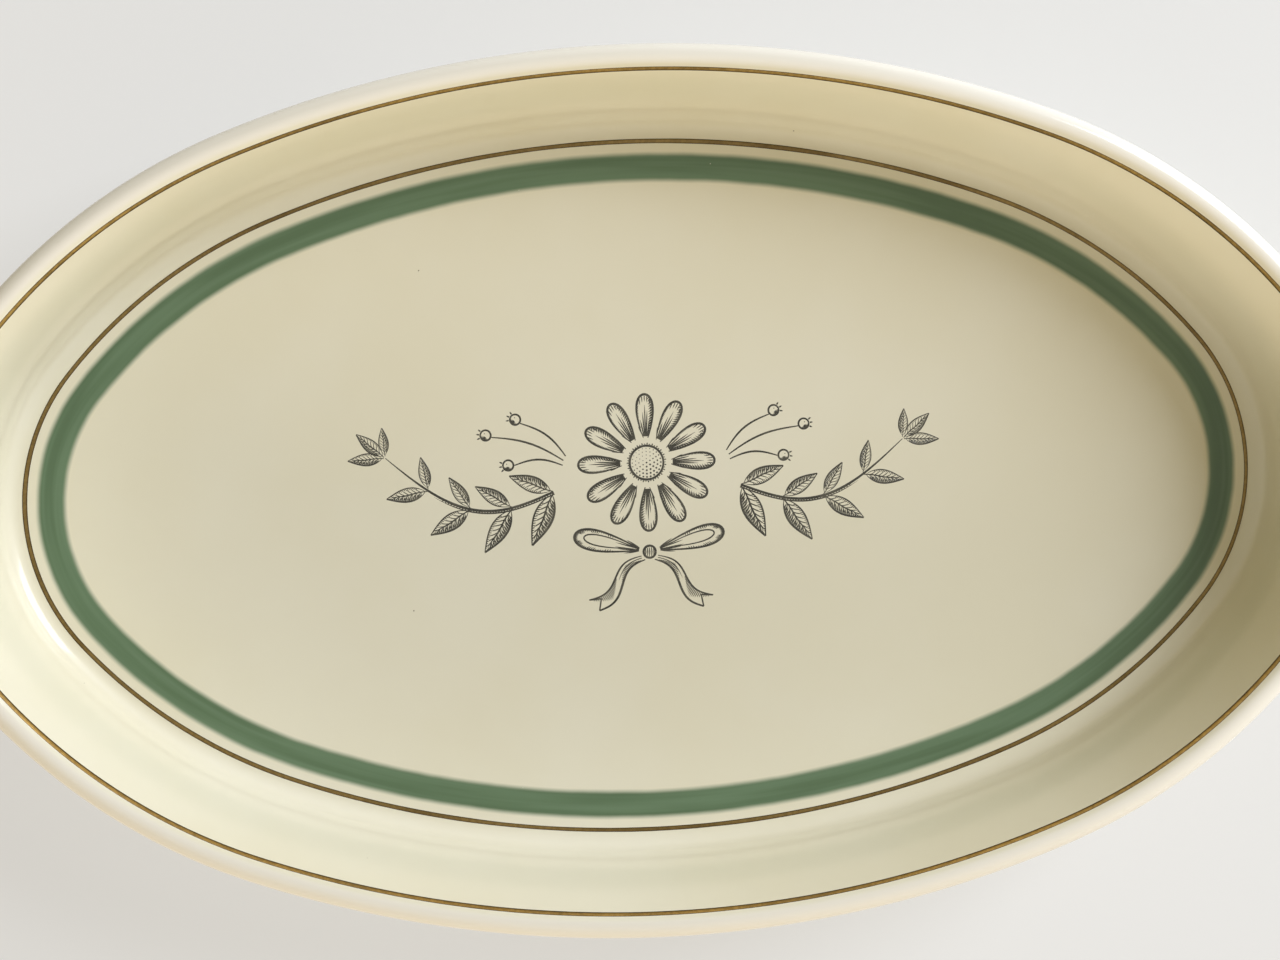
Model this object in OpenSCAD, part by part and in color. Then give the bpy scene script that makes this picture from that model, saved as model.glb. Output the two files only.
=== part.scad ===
// Oval serving platter of glazed porcelain: a flat well, a steep wall with a rolled lip,
// a foot ring with a bare standing edge, a green band, two gilt lines and a printed garland.
// The origin is at the middle of the standing face. X is the long way, Z is up.

/* [Dish] */
// Overall length, lip to lip
dish_len = 240; // [220:1:280]
// Overall width, lip to lip
dish_w = 146; // [130:1:160]
// Overall height, table to the top of the lip
dish_h = 32; // [26:0.5:40]
// Thickness of the floor
floor_t = 4.2; // [3:0.1:6]
// Radius of the round lip, half of the wall's thickness at the top
lip_r = 2.3; // [1.6:0.1:3]
// Distance in plan from the lip's outer edge to the place where the floor starts to rise
well_inset = 12; // [10:0.1:14]
// Radius of the hollow where the floor turns up into the wall
well_r = 3; // [2:0.1:5]
// Distance in plan from the lip's outer edge to the centre of the heel's curve
heel_inset = 12.8; // [11:0.1:14]
// Radius of the heel, where the outer wall turns under
heel_r = 8; // [5:0.1:10]

/* [Foot ring] */
// Height of the foot ring under the floor
foot_h = 3; // [2.4:0.1:5]
// Width of the foot ring
foot_w = 3.4; // [2.8:0.1:5]
// Distance in plan from the lip's outer edge to the foot ring's outer face
foot_inset = 15.6; // [15.2:0.1:17]
// Radius of the small hollows at the root of the foot ring
foot_root_r = 1.2; // [0.6:0.1:1.4]
// Radius of the rounding beside the standing edge
foot_tip_r = 0.8; // [0.5:0.05:0.9]
// Height up to which the foot is wiped free of glaze
bare_h = 1; // [0.95:0.05:1.2]

/* [Glaze and colours] */
// Thickness of the glaze
glaze_t = 0.3; // [0.2:0.05:0.4]
// Width of the green band
band_w = 4.8; // [3:0.1:6]
// Gap between the green band and the inner gilt line
band_gap = 1.6; // [1:0.1:3.5]
// Depth of the green colour in the glaze
band_t = 0.15; // [0.1:0.01:0.18]
// Width of the inner gilt line
inner_gold_w = 0.8; // [0.4:0.05:1]
// Gap between the inner gilt line and the place where the floor starts to rise
inner_gold_gap = 0.1; // [0.05:0.01:0.3]
// Width of the outer gilt line, measured round the lip
outer_gold_w = 1; // [0.6:0.05:1.4]
// Gap round the lip between the wall's straight face and the outer gilt line
outer_gold_gap = 0.25; // [0.1:0.05:0.5]
// Thickness of the gilding
gold_t = 0.1; // [0.08:0.01:0.15]

/* [Print] */
// Thickness of the ink
ink_t = 0.1; // [0.08:0.01:0.15]
// Width of an outline stroke
line_w = 0.34; // [0.25:0.01:0.4]
// Width of a shading stroke
hatch_w = 0.22; // [0.15:0.01:0.26]
// Clear space kept between strokes
line_gap = 0.25; // [0.2:0.01:0.3]
// Radius of a dot in the button, in a berry and in the knot
dot_r = 0.3; // [0.2:0.02:0.36]
// Number of petals
petals = 12; // [9:1:14]
// Distance from the middle of the daisy to a petal's tip
daisy_r = 12; // [10:0.1:13]
// Radius of the daisy's button
button_r = 3.2; // [2.8:0.1:3.6]
// Height of the daisy's middle above the dish's middle, in plan
daisy_y = 4.5; // [3.5:0.1:6]
// Distance from the dish's middle to a garland's first leaves
garland_start = 16.5; // [16:0.1:20]
// Length of a garland in plan, from its first leaves to its last
garland_len = 29; // [26:0.1:31]
// How far a garland sags below the line between its ends
garland_drop = 6; // [4:0.1:7]
// Height of a garland's far end above its near end, in plan
garland_rise = 7; // [5:0.1:8]
// Length of a garland's first leaf
leaf_len = 9.6; // [8:0.1:10]
// Width of a garland's first leaf
leaf_w = 3.3; // [2.5:0.1:3.5]
// Length of a sprig of berries
sprig_len = 17; // [14:0.1:19]
// Radius of a berry
berry_r = 1.1; // [0.8:0.05:1.3]
// Length of a ribbon loop
loop_len = 12; // [10:0.1:12.5]
// Height of a ribbon loop where it is widest
loop_h = 5.2; // [4:0.1:6]
// Length of a ribbon tail
tail_len = 12; // [9:0.1:14]
// Width of a ribbon tail at its end
tail_w = 2.6; // [2:0.1:3]
// Radius of the ribbon's knot
knot_r = 1.3; // [1.1:0.1:1.5]
// Distance in plan from the dish's middle down to the knot
knot_drop = 11.2; // [10.8:0.1:13]

/* [Hidden] */
facets = 96;
$fn = facets;

// The plan is an oval of three radii: tight ends, wider haunches and nearly straight sides
end_radius_share = 1.1;
join_1 = 40;
join_2 = 69;
half_len = dish_len / 2;
half_w = dish_w / 2;
end_r = end_radius_share * half_w * half_w / half_len;
join_det = cos(join_1) * (1 - sin(join_2)) - cos(join_2) * (1 - sin(join_1));
haunch_step = ((half_len - end_r) * (1 - sin(join_2)) - cos(join_2) * (half_w - end_r)) / join_det;
side_step = (cos(join_1) * (half_w - end_r) - (1 - sin(join_1)) * (half_len - end_r)) / join_det;
haunch_r = end_r + haunch_step;
side_r = haunch_r + side_step;
end_x = half_len - end_r;
haunch_x = end_x - haunch_step * cos(join_1);
haunch_y = -haunch_step * sin(join_1);
side_y = half_w - side_r;

// Each sector of the plan: its centre, first angle, swept angle and the lip's radius there
SECTORS = [
    [[end_x, 0], -join_1, 2 * join_1, end_r],
    [[haunch_x, haunch_y], join_1, join_2 - join_1, haunch_r],
    [[0, side_y], join_2, 180 - 2 * join_2, side_r],
    [[-haunch_x, haunch_y], 180 - join_2, join_2 - join_1, haunch_r],
    [[-end_x, 0], 180 - join_1, 2 * join_1, end_r],
    [[-haunch_x, -haunch_y], 180 + join_1, join_2 - join_1, haunch_r],
    [[0, -side_y], 180 + join_2, 180 - 2 * join_2, side_r],
    [[haunch_x, -haunch_y], 360 - join_2, join_2 - join_1, haunch_r]
];
sector_steps = 10;

// A place is reached by a coarse move and a fine one, so that neighbouring sectors meet exactly
coarse_step = 0.01;
function coarse(v) = [for (x = v) round(x / coarse_step) * coarse_step];

// Levels and circle centres of the section, with x measured outward from the lip's outer edge
floor_z = foot_h + floor_t;
lip_c = [-lip_r, dish_h - lip_r];
well_c = [-well_inset, floor_z + well_r];
heel_c = [-heel_inset, foot_h + heel_r];
foot_out = -foot_inset;
foot_in = foot_out - foot_w;

// Lean of the wall's inner and outer faces from the vertical, tangent to the circles they join
well_span = lip_c - well_c;
heel_span = lip_c - heel_c;
inner_lean = acos((lip_r + well_r) / norm(well_span)) - atan2(well_span[1], well_span[0]);
outer_lean = acos((heel_r - lip_r) / norm(heel_span)) - atan2(heel_span[1], heel_span[0]);

// Places of the colours across the section
inner_gold_out = -well_inset - inner_gold_gap;
inner_gold_in = inner_gold_out - inner_gold_w;
band_out = inner_gold_in - band_gap;
band_in = band_out - band_w;
gold_from = 180 - inner_lean - outer_gold_gap / lip_r * 180 / PI;
gold_to = gold_from - outer_gold_w / lip_r * 180 / PI;

// The flat middle of each layer is one slab that laps under the swept ring's flat inner edge
core_lap = 1.2;
core_edge = band_in - 2 * core_lap;

// Steps of the round stretches of the section
well_steps = 6;
gold_steps = 3;
lip_steps = 9;
heel_steps = 6;
small_steps = 4;

function arc(c, r, from, to, steps) =
    [for (i = [0:steps]) let (a = from + (to - from) * i / steps) c + r * [cos(a), sin(a)]];
function reversed(list) = [for (i = [len(list) - 1:-1:0]) list[i]];

// Outline of the plan oval, moved outward by a distance
function oval(out) =
    [for (s = SECTORS) for (i = [0:sector_steps - 1])
        let (a = s[1] + s[2] * i / sector_steps) s[0] + (s[3] + out) * [cos(a), sin(a)]];

// The lip, from the wall's inner face over the top to the outer face, at a depth under the glaze
function lip(depth) = concat(
    [lip_c + (lip_r - depth) * [-cos(inner_lean), sin(inner_lean)]],
    arc(lip_c, lip_r - depth, gold_from, gold_to, gold_steps),
    arc(lip_c, lip_r - depth, gold_to + (-outer_lean - gold_to) / lip_steps, -outer_lean, lip_steps - 1));

// The surface from the well's hollow over the lip and round the heel to the foot's outer face
function show_side(depth) = concat(
    arc(well_c, well_r + depth, -90, -inner_lean, well_steps),
    lip(depth),
    arc(heel_c, heel_r - depth, -outer_lean, -90, heel_steps),
    arc([foot_out + foot_root_r, foot_h - foot_root_r], foot_root_r + depth, 90, 180, small_steps));

// The surface from the foot's inner face to the underside of the floor
function under_side(depth) = concat(
    arc([foot_in - foot_root_r, foot_h - foot_root_r], foot_root_r + depth, 0, 90, small_steps),
    [[core_edge, foot_h + depth]]);

// The bare standing edge between the two glazed faces of the foot
function standing_edge() = concat(
    arc([foot_out - foot_tip_r, foot_tip_r - glaze_t], foot_tip_r - glaze_t, 0, -90, small_steps),
    arc([foot_in + foot_tip_r, foot_tip_r - glaze_t], foot_tip_r - glaze_t, -90, -180, small_steps));

module move(v) {
    translate(coarse(v))
        translate(v - coarse(v))
            children();
}

module sweep(section) {
    for (s = SECTORS)
        move(s[0])
            rotate_extrude(angle = s[2], start = s[1])
                move([s[3], 0])
                    polygon(section);
}

module core(bottom, top) {
    translate([0, 0, bottom])
        linear_extrude(top - bottom)
            polygon(oval(core_edge + core_lap));
}

module porcelain_body() {
    color([0.95, 0.93, 0.88]) {
        sweep(concat([[core_edge, floor_z - glaze_t]], show_side(glaze_t), standing_edge(),
                     under_side(glaze_t)));
        core(foot_h + glaze_t, floor_z - glaze_t);
    }
}

module glaze_coat() {
    notch = [[core_edge, floor_z], [band_in, floor_z], [band_in, floor_z - band_t],
             [band_out, floor_z - band_t], [band_out, floor_z]];
    foot_end = [[foot_out, bare_h], [foot_out - glaze_t, bare_h]];
    color([0.91, 0.88, 0.77]) {
        sweep(concat(notch, show_side(0), foot_end, reversed(show_side(glaze_t)),
                     [[core_edge, floor_z - glaze_t]]));
        core(floor_z - glaze_t, floor_z);
    }
}

module underside_glaze() {
    foot_end = [[foot_in + glaze_t, bare_h], [foot_in, bare_h]];
    color([0.90, 0.87, 0.77]) {
        sweep(concat(foot_end, under_side(0), reversed(under_side(glaze_t))));
        core(foot_h, foot_h + glaze_t);
    }
}

module green_band() {
    color([0.38, 0.49, 0.38])
        sweep([[band_in, floor_z - band_t], [band_out, floor_z - band_t],
               [band_out, floor_z], [band_in, floor_z]]);
}

module inner_gold_line() {
    color([0.55, 0.42, 0.22])
        sweep([[inner_gold_in, floor_z], [inner_gold_out, floor_z],
               [inner_gold_out, floor_z + gold_t], [inner_gold_in, floor_z + gold_t]]);
}

module outer_gold_line() {
    color([0.62, 0.49, 0.26])
        sweep(concat(arc(lip_c, lip_r, gold_from, gold_to, gold_steps),
                     arc(lip_c, lip_r + gold_t, gold_to, gold_from, gold_steps)));
}

// The print: every mark is a thin island of ink that touches no other
tip_share = 0.35;
stroke_steps = 8;
ink_colour = [0.25, 0.24, 0.22];

function unit(v) = v / norm(v);
function left_of(v) = [-v[1], v[0]];
function heading(p, i) = unit(p[min(i + 1, len(p) - 1)] - p[max(i - 1, 0)]);
function fullness(t) = tip_share + (1 - tip_share) * sin(180 * t);
function mix(a, b, t) = a + (b - a) * t;

// Outline of a stroke along points, widest in its middle and fine at its ends
function stroke(p, w) =
    let (n = len(p) - 1)
    concat([for (i = [0:n]) p[i] + left_of(heading(p, i)) * w / 2 * fullness(i / n)],
           [for (i = [n:-1:0]) p[i] - left_of(heading(p, i)) * w / 2 * fullness(i / n)]);

module ink(p, w) {
    linear_extrude(ink_t)
        polygon(stroke(p, w));
}

module dot(r) {
    linear_extrude(ink_t)
        circle(r);
}

module circle_line(r, w) {
    linear_extrude(ink_t)
        difference() {
            circle(r);
            circle(r - w);
        }
}

module on_floor(place = [0, 0]) {
    color(ink_colour)
        translate([place[0], place[1], floor_z])
            children();
}

module both_sides() {
    children();
    mirror([1, 0, 0])
        children();
}

// Half width of a leaf at a share of its length, with its fullest place nearer the stalk
leaf_fullest_share = 0.8;
function leaf_edge(t, w) = w / 2 * sin(180 * pow(t, leaf_fullest_share));

// One leaf along X from its stalk: two edges, a midrib and shading strokes on its lower side
leaf_from_share = 0.06;
leaf_to_share = 0.95;
rib_from_share = 0.16;
rib_to_share = 0.84;
hatch_slant_share = 0.1;
module leaf(len, w, hatches) {
    for (side = [-1, 1])
        ink([for (i = [0:stroke_steps])
                let (t = mix(leaf_from_share, leaf_to_share, i / stroke_steps))
                [len * t, side * leaf_edge(t, w)]], line_w);
    ink([for (t = [0:0.5:1]) [len * mix(rib_from_share, rib_to_share, t), 0]], hatch_w);
    for (i = [1:hatches])
        let (t = mix(rib_from_share, rib_to_share, i / (hatches + 1)),
             top = [len * t, -line_gap],
             low = [len * (t + hatch_slant_share),
                    line_gap + line_w / 2 - leaf_edge(t + hatch_slant_share, w)])
            if (top[1] - low[1] > line_gap)
                ink([top, (top + low) / 2, low], hatch_w);
}

// A garland hangs in one curve between its first and last leaves, and ends a little higher
leaf_pairs = 5;
leaf_hatches = 5;
leaf_spread = 44;
upper_leaf_share = 0.8;
leaf_shrink_share = 0.38;
stalk_share = 0.06;
stem_steps = 16;
function stem(t) =
    [garland_start + garland_len * t, garland_rise * t - garland_drop * sin(180 * t)];
function stem_angle(t) =
    atan2(garland_rise - garland_drop * PI * cos(180 * t), garland_len);

module garland() {
    for (i = [0:leaf_pairs - 1])
        for (side = [-1, 1])
            let (t = i / (leaf_pairs - 1),
                 size = (1 - leaf_shrink_share * t) * (side < 0 ? 1 : upper_leaf_share))
                translate(stem(t))
                    rotate(stem_angle(t) + side * leaf_spread)
                        mirror([0, side < 0 ? 0 : 1, 0])
                            translate([leaf_len * stalk_share, 0])
                                leaf(leaf_len * size, leaf_w * size, leaf_hatches);
    translate(stem(1))
        rotate(stem_angle(1))
            translate([leaf_len * stalk_share, 0])
                leaf(leaf_len * (1 - leaf_shrink_share), leaf_w * (1 - leaf_shrink_share), leaf_hatches);
    ink([for (i = [0:stem_steps]) stem(i / stem_steps)], line_w);
}

module print_right_garland() {
    on_floor()
        garland();
}

module print_left_garland() {
    on_floor()
        mirror([1, 0, 0])
            garland();
}

// The daisy: petals in a ring round a dotted button, each one open towards the button
petal_from = button_r + line_gap + line_w;
petal_len = daisy_r - petal_from;
petal_widest_share = 0.62;
petal_fill_share = 0.86;
petal_w = petal_fill_share * 2 * sin(180 / petals) * (petal_from + petal_widest_share * petal_len);
petal_neck_share = 0.35;
petal_open = 150;
petal_steps = 14;
vein_x_shares = [0.25, 0.4, 0.55];
vein_y_shares = [0.1, 0.14, 0.17];
button_ring_shares = [0, 0.38, 0.72];
button_dots = 6;

function petal_outline(a) =
    let (x_share = (1 + cos(a)) / 2)
    [petal_len * x_share, petal_w / 2 * sin(a) * mix(petal_neck_share, 1, x_share)];

module petal() {
    ink([for (k = [0:petal_steps]) petal_outline(mix(-petal_open, petal_open, k / petal_steps))], line_w);
    for (k = [-1:1])
        ink([for (i = [0:2]) [petal_len * vein_x_shares[i], k * petal_w * vein_y_shares[i]]], hatch_w);
}

module print_daisy() {
    on_floor([0, daisy_y]) {
        for (i = [0:petals - 1])
            rotate(360 * i / petals)
                translate([petal_from, 0])
                    petal();
        circle_line(button_r, line_w);
        dot(dot_r);
        for (k = [1:2])
            for (i = [0:k * button_dots - 1])
                rotate(360 * i / (k * button_dots))
                    translate([button_r * button_ring_shares[k], 0])
                        dot(dot_r);
    }
}

// Sprigs of berries stand out at both sides of the daisy, one berry at the end of each stalk
berry_turns = [2, 20, 38];
berry_reach_shares = [0.72, 1, 0.8];
berry_from_share = 0.16;
berry_bow_share = 0.06;
module sprig() {
    for (i = [0:2])
        let (reach = sprig_len * berry_reach_shares[i])
            rotate(berry_turns[i]) {
                ink([for (k = [0:stroke_steps])
                        let (t = k / stroke_steps)
                        [mix(sprig_len * berry_from_share, reach - berry_r - line_gap, t),
                         sprig_len * berry_bow_share * sin(180 * t)]], hatch_w);
                translate([reach, 0]) {
                    circle_line(berry_r, hatch_w);
                    dot(dot_r);
                }
            }
}

module print_berries() {
    on_floor([0, daisy_y])
        both_sides()
            translate([daisy_r, 0])
                sprig();
}

// The ribbon: a knot, two loops and two waved tails with notched ends
loop_turn = 14;
loop_open = 160;
loop_neck_share = 0.2;
tail_turn = -42;
tail_wave_share = 0.08;
tail_neck_share = 0.35;
notch_share = 0.14;
fold_x_shares = [0.1, 0.3, 0.5];
fold_y_shares = [0.05, 0.14, 0.2];

function loop_outline(a) =
    let (x_share = (1 + cos(a)) / 2)
    [loop_len * x_share, loop_h / 2 * sin(a) * mix(loop_neck_share, 1, x_share)];

module loop() {
    ink([for (k = [0:petal_steps]) loop_outline(mix(-loop_open, loop_open, k / petal_steps))], line_w);
    for (k = [-1:1])
        ink([for (i = [0:2]) [loop_len * fold_x_shares[i], k * loop_h * fold_y_shares[i]]], hatch_w);
}

function tail_half(t) = tail_w / 2 * mix(tail_neck_share, 1, t);
function tail_line(t, offset) = [tail_len * t, tail_len * tail_wave_share * sin(360 * t) + offset];

module tail() {
    for (side = [-1, 1])
        ink([for (k = [0:stroke_steps])
                let (t = k / stroke_steps) tail_line(t, side * tail_half(t))], line_w);
    for (side = [-1, 1])
        ink([for (t = [0:0.5:1])
                [tail_len * (1 - notch_share * (1 - t)),
                 side * mix(line_gap, tail_half(1) - line_w, t)]], hatch_w);
}

module print_ribbon() {
    on_floor([0, -knot_drop]) {
        circle_line(knot_r, line_w);
        dot(dot_r);
        both_sides() {
            rotate(loop_turn)
                translate([knot_r + line_gap, 0])
                    loop();
            rotate(tail_turn)
                translate([knot_r + line_gap, 0])
                    tail();
        }
    }
}

porcelain_body();
glaze_coat();
underside_glaze();
green_band();
inner_gold_line();
outer_gold_line();
print_daisy();
print_left_garland();
print_right_garland();
print_berries();
print_ribbon();
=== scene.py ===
"""Oval serving platter of glazed porcelain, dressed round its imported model.

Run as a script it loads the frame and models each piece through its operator.
"""

import random
from math import acos, atan2, cos, degrees, pi, radians, sin, sqrt

import bpy
from bpy.props import FloatProperty, FloatVectorProperty, IntProperty, PointerProperty
from bpy.types import Operator, Panel, PropertyGroup
from mathutils import Matrix, Vector


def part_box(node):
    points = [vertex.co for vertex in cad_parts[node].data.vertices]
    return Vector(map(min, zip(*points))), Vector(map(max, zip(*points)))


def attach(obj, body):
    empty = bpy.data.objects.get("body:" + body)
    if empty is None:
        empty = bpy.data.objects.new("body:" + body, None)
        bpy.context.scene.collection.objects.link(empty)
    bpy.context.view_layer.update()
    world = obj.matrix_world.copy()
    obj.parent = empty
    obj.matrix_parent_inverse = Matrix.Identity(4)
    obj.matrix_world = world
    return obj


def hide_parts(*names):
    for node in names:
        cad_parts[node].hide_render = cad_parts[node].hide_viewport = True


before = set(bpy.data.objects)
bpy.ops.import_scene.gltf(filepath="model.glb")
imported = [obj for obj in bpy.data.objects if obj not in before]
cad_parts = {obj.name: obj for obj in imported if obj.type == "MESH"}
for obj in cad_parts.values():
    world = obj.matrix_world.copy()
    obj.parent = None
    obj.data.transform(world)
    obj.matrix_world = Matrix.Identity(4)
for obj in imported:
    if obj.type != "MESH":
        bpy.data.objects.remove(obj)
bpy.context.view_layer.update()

bl_info = {
    "name": "Oval serving platter",
    "version": (1, 0, 0),
    "blender": (4, 5, 0),
    "location": "View3D > Sidebar > Platter",
    "description": "Models an oval glazed platter with a green band, gilt lines and a printed garland",
    "category": "Object",
}

MM = 0.001
COAT_LOW, COAT_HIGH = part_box("glaze_coat")
_, BAND_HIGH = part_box("green_band")

# Points that lie closer than these are one: on a swept piece, and on a stroke's end
DOUBLES = 0.004 * MM
CAP_GAP = 0.001 * MM

# The plan oval's end radius, as a share of an ellipse's, and the angles where its arcs join
END_RADIUS_SHARE = 1.1
JOIN_END = radians(40)
JOIN_SIDE = radians(69)
QUARTER = pi / 2


# Values that a user would change


def length_of(name, about, millimetres):
    """A length property whose default is given in millimetres."""
    return FloatProperty(name=name, description=about, default=millimetres * MM, min=0.0,
                         precision=5, unit="LENGTH", subtype="DISTANCE")


def colour_of(name, about, *rgb):
    """A colour property with an opaque default."""
    return FloatVectorProperty(name=name, description=about, default=(*rgb, 1.0), size=4,
                               min=0.0, max=1.0, subtype="COLOR")


def number_of(name, about, default):
    return FloatProperty(name=name, description=about, default=default, min=0.0)


class PlatterSizes(PropertyGroup):
    """Sizes of the dish, its glaze and its lines."""

    length: length_of("Length", "Overall length, lip to lip", round((COAT_HIGH.x - COAT_LOW.x) / MM))
    width: length_of("Width", "Overall width, lip to lip", round((COAT_HIGH.y - COAT_LOW.y) / MM))
    height: length_of("Height", "From the table to the top of the lip", COAT_HIGH.z / MM)
    floor_top: length_of("Floor level", "From the table to the top of the well's floor",
                         BAND_HIGH.z / MM)
    lip_radius: length_of("Lip radius", "Radius of the rolled lip", 2.3)
    well_inset: length_of("Well inset", "From the lip's edge to where the floor turns up", 12)
    well_radius: length_of("Well radius", "Hollow between the floor and the wall", 3)
    heel_inset: length_of("Heel inset", "From the lip's edge to the centre of the heel", 12.8)
    heel_radius: length_of("Heel radius", "Curve where the outer wall turns under", 8)
    foot_height: length_of("Foot height", "Height of the foot ring under the floor", 3)
    foot_width: length_of("Foot width", "Width of the foot ring", 3.4)
    foot_inset: length_of("Foot inset", "From the lip's edge to the foot ring", 15.6)
    foot_root: length_of("Foot root", "Hollow at the root of the foot ring", 1.2)
    foot_tip: length_of("Foot tip", "Rounding beside the standing edge", 0.8)
    bare_height: length_of("Bare foot", "Height up to which the foot has no glaze", 1)
    glaze: length_of("Glaze", "Thickness of the glaze", 0.3)
    glaze_end: length_of("Glaze end", "Radius of the glaze's rounded end on the foot", 0.13)
    band_width: length_of("Band width", "Width of the green band, to the middle of its faded edges",
                          4.6)
    band_inset: length_of("Band inset", "From the lip's edge to the green band", 14.7)
    band_depth: length_of("Band depth", "Depth of the green colour in the glaze", 0.15)
    band_fade: length_of("Band fade", "Width over which the green fades out at each edge", 1.2)
    inner_line: length_of("Inner gilt line", "Width of the gilt line on the floor", 0.8)
    inner_line_inset: length_of("Inner gilt inset", "From the lip's edge to this line's middle", 12.5)
    outer_line: length_of("Outer gilt line", "Width of the gilt line inside the lip", 0.96)
    gilt_height: length_of("Gilding", "How far the gilding stands up", 0.03)
    core_lap: length_of("Core lap", "From the green band to the plain middle of the floor", 2.4)
    step: length_of("Step", "Length of a face along the rim", 1.3)
    outer_line_angle: FloatProperty(
        name="Outer gilt angle", description="Where the outer gilt line lies round the lip",
        default=radians(148.95), unit="ROTATION", subtype="ANGLE")


class PrintSizes(PropertyGroup):
    """Sizes of the printed garland."""

    outline: length_of("Outline", "Width of an outline stroke", 0.45)
    fine: length_of("Fine line", "Width of a vein or a fold", 0.3)
    hair: length_of("Hair line", "Width of a shading stroke", 0.2)
    sink: length_of("Sink", "How far the ink's underside lies in the glaze", 0.004)
    daisy_radius: length_of("Daisy radius", "From the daisy's middle to a petal's tip", 12)
    button_radius: length_of("Button radius", "Radius of the daisy's button", 3.2)
    daisy_rise: length_of("Daisy place", "From the dish's middle up to the daisy's middle", 4.5)
    garland_start: length_of("Garland start", "From the dish's middle to the first leaves", 16.5)
    garland_length: length_of("Garland length", "From the first leaves to the last", 29)
    garland_drop: length_of("Garland drop", "How far a garland sags between its ends", 6)
    garland_rise: length_of("Garland rise", "Height of the far end above the near end", 7)
    leaf_length: length_of("Leaf length", "Length of the first leaf", 9.6)
    leaf_width: length_of("Leaf width", "Width of the first leaf", 3.3)
    sprig_length: length_of("Sprig length", "Length of a sprig of berries", 17)
    berry_radius: length_of("Berry radius", "Radius of a berry", 1.1)
    loop_length: length_of("Loop length", "Length of a ribbon loop", 12)
    loop_height: length_of("Loop height", "Height of a ribbon loop at its widest", 5.2)
    tail_length: length_of("Tail length", "Length of a ribbon tail", 12)
    tail_width: length_of("Tail width", "Width of a ribbon tail at its end", 2.6)
    knot_radius: length_of("Knot radius", "Radius of the ribbon's knot", 1.3)
    knot_drop: length_of("Knot place", "From the dish's middle down to the knot", 11.2)
    petals: IntProperty(name="Petals", description="Number of petals", default=12, min=5)
    leaf_pairs: IntProperty(name="Leaf pairs", description="Pairs of leaves on a garland",
                            default=5, min=2)


class PlatterColours(PropertyGroup):
    """Colours of the glaze, the lines, the ink and the studio."""

    cream: colour_of("Cream glaze", "Colour of the plain glaze", 0.825, 0.795, 0.665)
    cream_deep: colour_of("Deep glaze", "Cream where the glaze lies thicker", 0.8, 0.762, 0.61)
    # Pale cream of the thin glaze over the lip, also its painted highlight, and the green band's pits
    pale_cream_and_highlight: colour_of("Lip glaze", "Cream where the glaze runs thin over the lip", 0.92, 0.89, 0.82)
    speck: colour_of("Specks", "Tiny iron specks in the glaze", 0.13, 0.09, 0.05)
    green: colour_of("Green", "Middle of the green band", 0.094, 0.160, 0.081)
    green_thin: colour_of("Thin green", "Green where the brush left less", 0.165, 0.262, 0.158)
    green_rim: colour_of("Green rim", "Green where the band thins at its edges", 0.115, 0.215, 0.13)
    gilt: colour_of("Gilding", "Middle of a gilt line", 0.46, 0.29, 0.085)
    # A darker gold, painted as shade on the floor's gilt line
    gilt_shaded: colour_of("Shaded gilding", "Gilding darkened on the floor as painted shade", 0.24, 0.157, 0.05)
    gilt_edge: colour_of("Gilt edge", "Brown edge of a gilt line", 0.036, 0.021, 0.007)
    ink: colour_of("Ink", "Printed outline", 0.03, 0.028, 0.019)
    ink_thin: colour_of("Thin ink", "Ink where the print runs thin", 0.125, 0.116, 0.085)
    bare: colour_of("Bare body", "Unglazed porcelain of the standing edge", 0.72, 0.68, 0.58)
    soiled: colour_of("Soiled body", "Rubbed dirt on the standing edge", 0.4, 0.36, 0.29)
    floor: colour_of("Studio floor", "Plain pale floor", 0.68, 0.68, 0.675)
    sky: colour_of("Sky", "Light from all round", 1.0, 0.83, 0.44)
    window: colour_of("Window", "Light of the tall soft lamp", 0.86, 0.91, 1.0)
    fill: colour_of("Fill", "Light of the wide low lamp", 1.0, 0.89, 0.75)


class StudioSettings(PropertyGroup):
    """The camera and the lamps."""

    place: FloatVectorProperty(
        name="Camera", description="Place of the camera", subtype="XYZ", unit="LENGTH",
        default=(-0.01955, 0.0171, 0.32238))
    turn: FloatVectorProperty(
        name="Camera turn", description="Turn of the camera", subtype="EULER", unit="ROTATION",
        default=(radians(-2.7088), radians(-3.4224), radians(-2.089)))
    lens: number_of("Lens", "Focal length in millimetres on a 36 mm sensor", 50.625)
    sky: number_of("Sky", "Strength of the light from all round", 0.3)
    window: number_of("Window", "Power of the tall soft lamp in watts", 14.0)
    fill: number_of("Fill", "Power of the wide low lamp in watts", 27.0)


def sizes():
    return bpy.context.scene.platter_sizes


def print_sizes():
    return bpy.context.scene.platter_print


def colours():
    return bpy.context.scene.platter_colours


def studio():
    return bpy.context.scene.platter_studio


# The plan oval and the section, as the frame has them

STEADY_STEP = 0.4 * MM

# Steps of the section's arcs at the well, the lip, the heel and the foot's root
FINE_STEPS = (14, 36, 16, 8)
PLAIN_STEPS = (6, 16, 8, 4)
ROOT_STEPS = 8


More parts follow.
